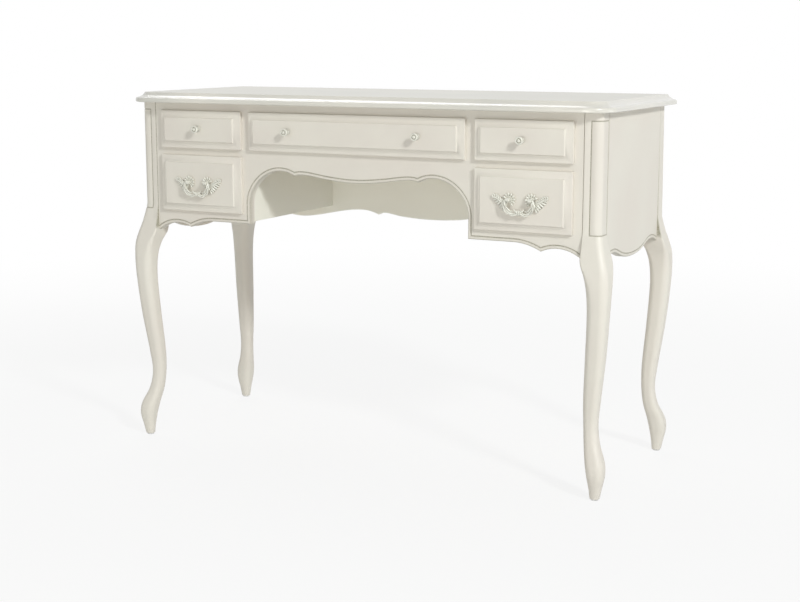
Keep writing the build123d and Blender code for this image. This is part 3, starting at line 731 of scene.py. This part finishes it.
def make_drawer_front(name):
    """The sawn board with its face cut away at the lip and built up again step by step."""
    bm = bmesh.new()
    bm.from_mesh(frame["nodes"][name].data)
    bmesh.ops.remove_doubles(bm, verts=bm.verts, dist=1e-6)
    bmesh.ops.dissolve_limit(bm, angle_limit=radians(0.5), verts=bm.verts, edges=bm.edges)
    low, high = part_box(name)
    start = Vector((0, low.y + bevel_rise + lip_round, 0))
    everything = bm.verts[:] + bm.edges[:] + bm.faces[:]
    bmesh.ops.bisect_plane(
        bm, geom=everything, plane_co=start, plane_no=(0, -1, 0), clear_outer=True)

    def outside(v):
        return min(v.co.x - low.x, high.x - v.co.x, v.co.z - low.z, high.z - v.co.z) < 1e-5

    cut = [e for e in bm.edges if e.is_boundary]
    rim = [e for e in cut if all(outside(v) for v in e.verts)]
    bores = [e for e in cut if e not in rim]
    if bores:
        bmesh.ops.holes_fill(bm, edges=bores, sides=0)
    face = bmesh.ops.contextual_create(bm, geom=rim)["faces"][0]
    half_turn = arc_steps(lip_round, 0, pi / 2, lip_steps)
    soft_run = field_soft * sin(bevel_end)
    soft_rise = field_soft * (1 - cos(bevel_end))
    run, rise = bevel_run - lip_round - soft_run, bevel_rise - soft_rise
    bevel_start = 2 * atan(rise / run) - bevel_end
    hollow_radius = run / (sin(bevel_end) - sin(bevel_start))
    hollow = arc_steps(hollow_radius, bevel_start, bevel_end, bevel_steps)
    soft = arc_steps(-field_soft, bevel_end, 0, field_steps)
    steps = [(inward, outward) for outward, inward in half_turn] + hollow + soft
    face.normal_update()
    if face.normal.y > 0:
        face.normal_flip()
    for inward, outward in steps:
        bmesh.ops.inset_region(
            bm, faces=[face], thickness=inward, depth=outward, use_even_offset=True)
    bmesh.ops.recalc_face_normals(bm, faces=bm.faces)
    return bm


front_ivory = (0.765, 0.727, 0.650, 1)
front_paint = painted(
    "front_paint", front_ivory, ivory_warm, cloud_size=6.0, roughness=0.42, bump=0.06, coat=0.08)
for drawer in drawers:
    front = drawer + "_front"
    keep_piece(
        make_drawer_front(front), front + "_board", front_paint, drawer, [front])


# ---- Turned knobs ----
# Small knobs of cast metal on the upper drawers, painted ivory: a flared foot, a slim neck and a
# head with a rounded rim, a sunk ring and a button at its middle. Their spigots are hidden.
knob_length = 0.0165
# radius, distance in front of the field, and how much wash lies there
knob_profile = [
    (0.0, -0.0140, 0), (0.0034, -0.0140, 0), (0.0035, -0.0136, 0), (0.0035, -0.0004, 0),
    (0.0058, 0.0, 0.9), (0.0060, 0.0006, 0.5), (0.0060, 0.0015, 0.0), (0.0054, 0.0021, 0.2),
    (0.0049, 0.0022, 0.8), (0.0046, 0.0028, 0.5), (0.0039, 0.0046, 0.2), (0.0036, 0.0066, 0.2),
    (0.0038, 0.0082, 0.3), (0.0050, 0.0096, 0.5), (0.0053, 0.0099, 0.7), (0.0071, 0.0103, 0.2),
    (0.0080, 0.0113, 0.0), (0.0080, 0.0130, 0.0), (0.0075, 0.0145, 0.0), (0.0065, 0.0153, 0.0),
    (0.0055, 0.0149, 0.0), (0.0048, 0.0137, 0.4), (0.0041, 0.0132, 0.7), (0.0035, 0.0138, 0.4),
    (0.0030, 0.0150, 0.0), (0.0023, 0.0161, 0.0), (0.0011, 0.0165, 0.0), (0.0, 0.0165, 0.0),
]
knob_segments = 28
cast_ivory = (0.790, 0.780, 0.705, 1)
cast_cloud = (0.735, 0.722, 0.645, 1)
# the hollows' wash colour: antique wash, made darker as painted shade in the crevices
cast_wash_and_shade = (0.25, 0.235, 0.17, 1)
cast_paint = painted(
    "cast_paint", cast_ivory, cast_cloud, cloud_size=90.0, roughness=0.34, bump=0.10, coat=0.20,
    rub_and_shade=cast_wash_and_shade)

for drawer, count in drawers.items():
    if not count:
        continue
    node = drawer + ("_knobs" if count == 2 else "_knob")
    low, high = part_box(node)
    knob_bm = bmesh.new()
    wash_and_shade = knob_bm.verts.layers.float.new("wash_and_shade")
    reach = (high.z - low.z) / 2
    for x in (low.x + reach, high.x - reach)[:count]:
        axis = Vector((x, low.y + knob_length, low.z + reach))
        line = []
        for radius, ahead, stain in knob_profile:
            line.append(knob_bm.verts.new(axis + Vector((radius, -ahead, 0))))
            line[-1][wash_and_shade] = stain
        edges = [knob_bm.edges.new((a, b)) for a, b in zip(line, line[1:])]
        bmesh.ops.spin(
            knob_bm, geom=line + edges, cent=axis, axis=(0, 1, 0), angle=2 * pi,
            steps=knob_segments, use_merge=True)
    bmesh.ops.remove_doubles(knob_bm, verts=knob_bm.verts, dist=1e-6)
    bmesh.ops.recalc_face_normals(knob_bm, faces=knob_bm.faces)
    keep_piece(
        knob_bm, drawer + "_turned_knob", cast_paint, drawer, [node], sharp=75)


# ---- Drop handles ----
# Cast handles in the rococo manner, painted with the case. Each mount is a shell round the pivot
# and an acanthus leaf that sweeps out and curls; a swinging bail, bound at its middle, joins two.
grain_size = 0.00045        # the finest detail that the casting keeps
pivot_out = 0.023           # from the handle's middle
pivot_ahead = 0.0105        # from the field
stem_foot = 0.0052          # radii of the pivot's stem, at the field and ahead
stem_head = 0.0033
barrel_radius = 0.0040
barrel_length = 0.0066
stem_sides = 24
# each mark of a bar: out and up from the handle's middle and hinge, ahead of the field or hinge,
# half its width and half its depth, all in millimetres
shell_angles = [24 + 30.5 * i for i in range(8)]
shell_lobe = [
    (4.2, 1.4, 1.1, 1.2), (7.6, 2.4, 1.9, 1.7), (10.6, 3.6, 2.5, 2.1), (12.4, 3.6, 1.7, 1.7),
]
leaf_bars = [
    # the vein, rolled up at its tip
    [(25, -3, 2.6, 2.6, 2.0), (31, -6.5, 3.2, 2.8, 2.2), (38, -5.0, 4.4, 2.4, 2.2),
     (45, -0.5, 4.2, 2.0, 1.9), (51, 2.8, 3.6, 1.8, 1.8), (55.6, 3.0, 3.4, 1.7, 1.7),
     (57.4, 6.2, 3.4, 1.6, 1.6), (55.0, 9.0, 3.4, 1.5, 1.6), (52.4, 7.4, 3.6, 1.4, 1.5),
     (53.4, 5.4, 3.8, 1.2, 1.4)],
    # the lower edge, lobe by lobe
    [(26, -5, 2.4, 1.8, 1.6), (29.5, -11, 2.8, 2.4, 2.0), (32.4, -17.5, 3.2, 2.7, 2.2),
     (34.6, -22.4, 2.4, 1.6, 1.5)],
    [(29, -5, 2.6, 1.8, 1.6), (33.6, -10.5, 4.0, 2.4, 2.2), (36.6, -15.2, 3.8, 2.6, 2.2),
     (39.4, -18.6, 2.6, 1.4, 1.4)],
    [(33, -5, 3.0, 1.8, 1.6), (37.2, -9.0, 4.6, 2.4, 2.2), (40.0, -12.6, 3.8, 2.4, 2.1),
     (43.2, -15.2, 2.4, 1.3, 1.4)],
    [(38, -4, 3.0, 1.6, 1.6), (41.8, -6.4, 4.4, 2.2, 2.0), (45.0, -9.2, 3.4, 2.2, 1.9),
     (48.2, -10.6, 2.2, 1.2, 1.3)],
    [(42, -2, 3.0, 1.5, 1.5), (45.8, -3.4, 4.0, 1.9, 1.8), (49.2, -5.4, 3.0, 1.9, 1.7),
     (52.4, -5.8, 2.0, 1.1, 1.2)],
    [(47, 0.5, 2.6, 1.3, 1.4), (51.0, -0.6, 3.2, 1.6, 1.6), (55.6, -1.6, 2.2, 1.2, 1.3)],
    # the upper edge
    [(31, -5, 3.0, 1.5, 1.5), (34.8, -2.6, 3.6, 1.8, 1.8), (37.4, 1.0, 2.6, 1.2, 1.3)],
    [(36, -4, 3.2, 1.5, 1.5), (40.0, -0.4, 3.8, 2.0, 1.9), (42.0, 4.2, 2.6, 1.2, 1.4)],
    [(41, -1.5, 3.2, 1.4, 1.4), (44.6, 2.8, 3.6, 1.8, 1.8), (46.4, 7.8, 2.6, 1.2, 1.3)],
    [(46, 1.5, 3.0, 1.3, 1.3), (48.6, 5.2, 3.2, 1.4, 1.5), (50.0, 9.4, 2.4, 1.0, 1.1)],
]
scroll_turn = (10, 265, 10)     # the raised edge between shell and eye: from, to, in steps
scroll_radius = 5.8
scroll_bar = (2.8, 1.0, 1.1)    # ahead of the field, half width at its start, half depth
scroll_taper = 0.04             # off the half width at each step
bail_half = [
    (21.0, 0, 0, 1.55, 1.55), (27.0, 0, 0, 1.55, 1.55), (29.0, -0.9, 0, 2.3, 2.3),
    (29.4, -5.0, 0, 2.9, 2.8), (29.0, -11.0, -0.8, 3.3, 2.8), (26.4, -18.0, -1.8, 3.5, 2.6),
    (21.2, -24.2, -2.6, 3.6, 2.5), (14.8, -27.6, -3.1, 3.3, 2.4), (8.8, -27.2, -3.3, 2.8, 2.4),
    (4.0, -24.8, -3.3, 2.5, 2.3), (0.0, -24.0, -3.3, 2.4, 2.3),
]
bail_leaves = [
    [(3.0, -23.0, -1.6, 1.3, 1.3), (6.8, -21.8, -1.0, 1.8, 1.5), (10.0, -18.4, -1.2, 1.1, 1.0)],
    [(4.0, -26.4, -0.9, 1.3, 1.3), (8.0, -28.6, -0.5, 1.6, 1.3), (12.5, -30.2, -0.6, 1.4, 1.1),
     (17.0, -29.6, -0.8, 1.0, 0.9)],
    [(29.2, -3.5, 1.4, 1.6, 1.6), (32.2, -7.5, 0.8, 1.9, 1.6), (33.4, -13.2, 0.0, 1.2, 1.1)],
    [(28.6, -4.5, 2.2, 1.6, 1.4), (27.8, -9.5, 2.3, 1.3, 1.5), (26.4, -14.5, 1.3, 0.8, 1.0)],
    [(30.4, -12.0, 1.6, 1.3, 1.3), (29.6, -18.5, 0.6, 1.7, 1.4), (26.2, -23.8, -0.3, 1.3, 1.1),
     (22.6, -26.8, -0.8, 0.8, 0.8)],
    [(24.4, -14.0, 1.2, 1.1, 1.2), (20.6, -18.8, 0.2, 1.7, 1.4), (16.0, -21.6, -0.8, 1.3, 1.1),
     (12.8, -20.4, -1.2, 0.8, 0.8)],
]
band_places = [(-3.5, -9), (0.0, 0), (3.5, 9)]      # along the bail, and their lean in degrees
band_size = (1.75, 3.9, 5.7)
band_offset = (0.0031, -0.0248)     # behind the hinge and up from it, in metres
bar_parts = 5.5             # a bar's handles reach one part in this many of its marks' gap
bar_step = 0.0012           # between the rings of a bar
bar_sides = 12
bar_cap = [(0, 1), (0.6, 0.8), (0.95, 0.3)]     # past a bar's end, in half widths, and its taper
hollow_gain = 15            # wash and painted shade gathered by a hollow, and how much of it is taken off again
hollow_wiped = 0.05


def cast_bar(bm, marks):
    """A tapering bar along a smooth path that passes its marks, rounded off at both ends."""
    places = [Vector((x, -ahead, z)) / 1000 for x, z, ahead, _, _ in marks]
    halves = [Vector((w, h, 0)) / 1000 for _, _, _, w, h in marks]
    ends = [places[0]] + places + [places[-1]]
    stops = []
    for i in range(len(places) - 1):
        a, b = places[i], places[i + 1]
        near, far = (b - ends[i]) / bar_parts, (ends[i + 3] - a) / bar_parts
        count = max(3, round((b - a).length / bar_step))
        path = interpolate_bezier(a, a + near, b - far, b, count)
        stops += [
            (p, halves[i].lerp(halves[i + 1], k / (count - 1))) for k, p in enumerate(path[:-1])]
    stops.append((places[-1], halves[-1]))
    rings = []
    for k, (place, half) in enumerate(stops):
        last = k == len(stops) - 1
        way = (stops[k if last else k + 1][0] - stops[max(k - 1, 0)][0]).normalized()
        deep = Vector((0, 1, 0))
        wide = way.cross(deep).normalized()
        caps = bar_cap if last or k == 0 else bar_cap[:1]
        for beyond, share in caps[::-1] if k == 0 else caps:
            spot = place + way * half.x * beyond * (1 if last else -1)
            turn = Matrix((wide * half.x * share, deep * half.y * share, way)).transposed()
            ring = bmesh.ops.create_circle(
                bm, segments=bar_sides, radius=1, matrix=Matrix.Translation(spot) @ turn.to_4x4())
            rings.append(list({e for v in ring["verts"] for e in v.link_edges}))
    for one, other in zip(rings, rings[1:]):
        bmesh.ops.bridge_loops(bm, edges=one + other)
    bmesh.ops.holes_fill(bm, edges=rings[0] + rings[-1], sides=0)


def cast(bm, place, across, name):
    """Fuse the bars into one casting, soften it, and lay wash and painted shade in its hollows."""
    bmesh.ops.scale(bm, vec=(across, 1, 1), verts=bm.verts)
    bmesh.ops.translate(bm, vec=place, verts=bm.verts)
    bmesh.ops.recalc_face_normals(bm, faces=bm.faces)
    rough = bpy.data.objects.new(name, bpy.data.meshes.new(name))
    bpy.context.scene.collection.objects.link(rough)
    bm.to_mesh(rough.data)
    fuse = rough.modifiers.new("fuse", "REMESH")
    fuse.mode = "VOXEL"
    fuse.voxel_size = grain_size
    seen = bpy.context.evaluated_depsgraph_get()
    fused = bpy.data.meshes.new_from_object(rough.evaluated_get(seen))
    bpy.data.objects.remove(rough)
    bm.clear()
    bm.from_mesh(fused)
    bmesh.ops.smooth_vert(
        bm, verts=bm.verts, factor=0.5, use_axis_x=True, use_axis_y=True, use_axis_z=True)
    bm.normal_update()
    wash_and_shade = bm.verts.layers.float.new("wash_and_shade")
    # darker the deeper the hollow: antique wash, and painted shade for the shadow in the crevices
    hollow = {}
    for v in bm.verts:
        around = [e.other_vert(v).co for e in v.link_edges]
        hollow[v] = (sum(around, Vector()) / len(around) - v.co).dot(v.normal) / grain_size
    for v in bm.verts:
        shared = [hollow[e.other_vert(v)] for e in v.link_edges] + [hollow[v]]
        v[wash_and_shade] = min(1.0, max(0.0, sum(shared) / len(shared) * hollow_gain - hollow_wiped))


def make_mount():
    """The leaf, shell, scroll, stem and barrel of one mount, out from the handle's middle."""
    bm = bmesh.new()
    for bar in leaf_bars:
        cast_bar(bm, bar)
    middle = pivot_out * 1000
    for angle in shell_angles:
        t = radians(angle)
        cast_bar(bm, [
            (middle + r * cos(t), r * sin(t), ahead, w, h) for r, ahead, w, h in shell_lobe])
    first, last, count = scroll_turn
    ahead, width, height = scroll_bar
    scroll = []
    for i in range(count + 1):
        t = radians(first + (last - first) * i / count)
        x, z = middle + scroll_radius * cos(t), scroll_radius * sin(t)
        scroll.append((x, z, ahead, width - scroll_taper * i, height))
    cast_bar(bm, scroll)
    stem = Matrix.Translation((pivot_out, -pivot_ahead / 2, 0))
    bmesh.ops.create_cone(
        bm, cap_ends=True, segments=stem_sides, radius1=stem_foot, radius2=stem_head,
        depth=pivot_ahead, matrix=stem @ Matrix.Rotation(pi / 2, 4, "X"))
    barrel = Matrix.Translation((pivot_out, -pivot_ahead, 0))
    bmesh.ops.create_cone(
        bm, cap_ends=True, segments=stem_sides, radius1=barrel_radius, radius2=barrel_radius,
        depth=barrel_length, matrix=barrel @ Matrix.Rotation(pi / 2, 4, "Y"))
    return bm


def make_bail():
    """The bail's bar with its leaves on both halves, and the bands that bind its middle."""
    bm = bmesh.new()

    def mirrored(bar):
        return [(-x, z, ahead, w, h) for x, z, ahead, w, h in bar]

    cast_bar(bm, bail_half + mirrored(bail_half[-2::-1]))
    for bar in bail_leaves:
        cast_bar(bm, bar)
        cast_bar(bm, mirrored(bar))
    for along, lean in band_places:
        band = Matrix.Translation((along / 1000, *band_offset))
        turn = Matrix.Rotation(radians(lean), 4, "Y")
        size = Matrix.Diagonal((*(v / 1000 for v in band_size), 1))
        bmesh.ops.create_icosphere(bm, subdivisions=3, radius=1, matrix=band @ turn @ size)
    return bm


for side, across in (("right", 1), ("left", -1)):
    drawer = "lower_" + side + "_drawer"
    joints = frame["record"]["behaviour"]["joints"]
    hinge = Vector(next(j["pos_m"] for j in joints if j["name"] == side + "_bail_swing"))
    on_field = Vector((hinge.x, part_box(drawer + "_front")[0].y, hinge.z))
    halves = []
    for hand, way in (("outer", across), ("inner", -across)):
        mount = make_mount()
        cast(mount, on_field, way, side + "_" + hand)
        everything = mount.verts[:] + mount.edges[:] + mount.faces[:]
        bmesh.ops.bisect_plane(
            mount, geom=everything, plane_co=on_field, plane_no=(0, 1, 0), clear_outer=True)
        bmesh.ops.holes_fill(mount, edges=[e for e in mount.edges if e.is_boundary], sides=0)
        halves.append(mount)
    half_mesh = bpy.data.meshes.new("half")
    halves[1].to_mesh(half_mesh)
    halves[1].free()
    halves[0].from_mesh(half_mesh)
    keep_piece(
        halves[0], drawer + "_cast_mounts", cast_paint, drawer,
        [drawer + "_mounts"], sharp=80)
    bail = make_bail()
    cast(bail, hinge, 1, side + "_bail_rough")
    keep_piece(
        bail, side + "_cast_bail", cast_paint, side + "_bail", ["bail_" + side],
        sharp=80)


# ---- Boards and hardware kept from the frame ----
# Drawer boxes, runners and kickers of bare poplar with plywood bottoms, painted partitions, and
# steel screws, bolts and glides, whose shapes are right already.
poplar_light = (0.640, 0.500, 0.330, 1)
poplar_dark = (0.500, 0.360, 0.210, 1)
ply_light = (0.700, 0.575, 0.400, 1)
ply_dark = (0.590, 0.450, 0.285, 1)


def make_grain_group():
    """Sawn wood: long streaks along the grain, finer pores in them, and a matching roughness."""
    group, given, told = start_group(
        "sawn_grain",
        [("Vector", "Vector", None), ("Light", "Color", None), ("Dark", "Color", None)],
        [("Color", "Color", None), ("Roughness", "Float", None), ("Height", "Float", None)])
    nodes, links = group.nodes, group.links
    streaks = add_node(nodes, "TexNoise", {"Scale": 1.0, "Detail": 5.0, "Distortion": 0.6})
    links.new(given.outputs["Vector"], streaks.inputs["Vector"])
    pores = add_node(nodes, "TexNoise", {"Scale": 6.0, "Detail": 3.0})
    links.new(given.outputs["Vector"], pores.inputs["Vector"])
    blend = add_node(nodes, "Math", {1: 0.35}, "MULTIPLY_ADD")
    links.new(pores.outputs["Fac"], blend.inputs[0])
    links.new(streaks.outputs["Fac"], blend.inputs[2])
    spread = add_node(nodes, "MapRange", {"From Min": 0.45, "From Max": 0.88})
    links.new(blend.outputs[0], spread.inputs["Value"])
    tone = mix_colors(
        nodes, links, spread.outputs["Result"], given.outputs["Light"], given.outputs["Dark"])
    links.new(tone, told.inputs["Color"])
    dull = add_node(nodes, "MapRange", {"To Min": 0.62, "To Max": 0.78})
    links.new(pores.outputs["Fac"], dull.inputs["Value"])
    links.new(dull.outputs["Result"], told.inputs["Roughness"])
    links.new(pores.outputs["Fac"], told.inputs["Height"])
    return group


grain_group = make_grain_group()


def sawn(name, light, dark, stretch):
    """A bare wood whose grain runs along the axis with the smallest stretch."""
    wood = bpy.data.materials.new(name)
    wood.use_nodes = True
    nodes, links = wood.node_tree.nodes, wood.node_tree.links
    shader = nodes["Principled BSDF"]
    place = add_node(nodes, "TexCoord", {})
    turn = add_node(nodes, "Mapping", {"Scale": stretch})
    grain = nodes.new("ShaderNodeGroup")
    grain.node_tree = grain_group
    grain.inputs["Light"].default_value = light
    grain.inputs["Dark"].default_value = dark
    rise = add_node(nodes, "Bump", {"Strength": 0.25, "Distance": 0.0003})
    links.new(place.outputs["Object"], turn.inputs["Vector"])
    links.new(turn.outputs["Vector"], grain.inputs["Vector"])
    links.new(grain.outputs["Color"], shader.inputs["Base Color"])
    links.new(grain.outputs["Roughness"], shader.inputs["Roughness"])
    links.new(grain.outputs["Height"], rise.inputs["Height"])
    links.new(rise.outputs["Normal"], shader.inputs["Normal"])
    return wood


def brushed_steel():
    """Plain zinc-bright steel, finely scratched."""
    steel = bpy.data.materials.new("bright_steel")
    steel.use_nodes = True
    nodes, links = steel.node_tree.nodes, steel.node_tree.links
    shader = nodes["Principled BSDF"]
    shader.inputs["Metallic"].default_value = 1.0
    shader.inputs["Base Color"].default_value = (0.58, 0.58, 0.57, 1)
    place = add_node(nodes, "TexCoord", {})
    scratches = add_node(nodes, "TexNoise", {"Scale": 900.0})
    links.new(place.outputs["Object"], scratches.inputs["Vector"])
    dull = add_node(nodes, "MapRange", {"To Min": 0.28, "To Max": 0.50})
    links.new(scratches.outputs["Fac"], dull.inputs["Value"])
    links.new(dull.outputs["Result"], shader.inputs["Roughness"])
    return steel


wood_deep = sawn("poplar_along_depth", poplar_light, poplar_dark, (55, 4, 55))
wood_wide = sawn("poplar_along_width", poplar_light, poplar_dark, (4, 55, 55))
wood_ply = sawn("birch_plywood", ply_light, ply_dark, (3, 30, 30))
steel = brushed_steel()
# the partition, like the back, takes the lighter paint: painted light for the kneehole's shade
kept_finishes = [
    ("_side_", wood_deep), ("_back", wood_wide), ("_bottom", wood_ply),
    ("drawer_runners", wood_deep), ("top_kickers", wood_deep), ("top_screws", steel),
    ("_bolts", steel), ("foot_glides", steel), ("kneehole_partition", kneehole_light_paint),
]
for name, node in frame["nodes"].items():
    finish = next((finish for part, finish in kept_finishes if part in name), ivory_paint)
    node.data.materials.clear()
    node.data.materials.append(finish)
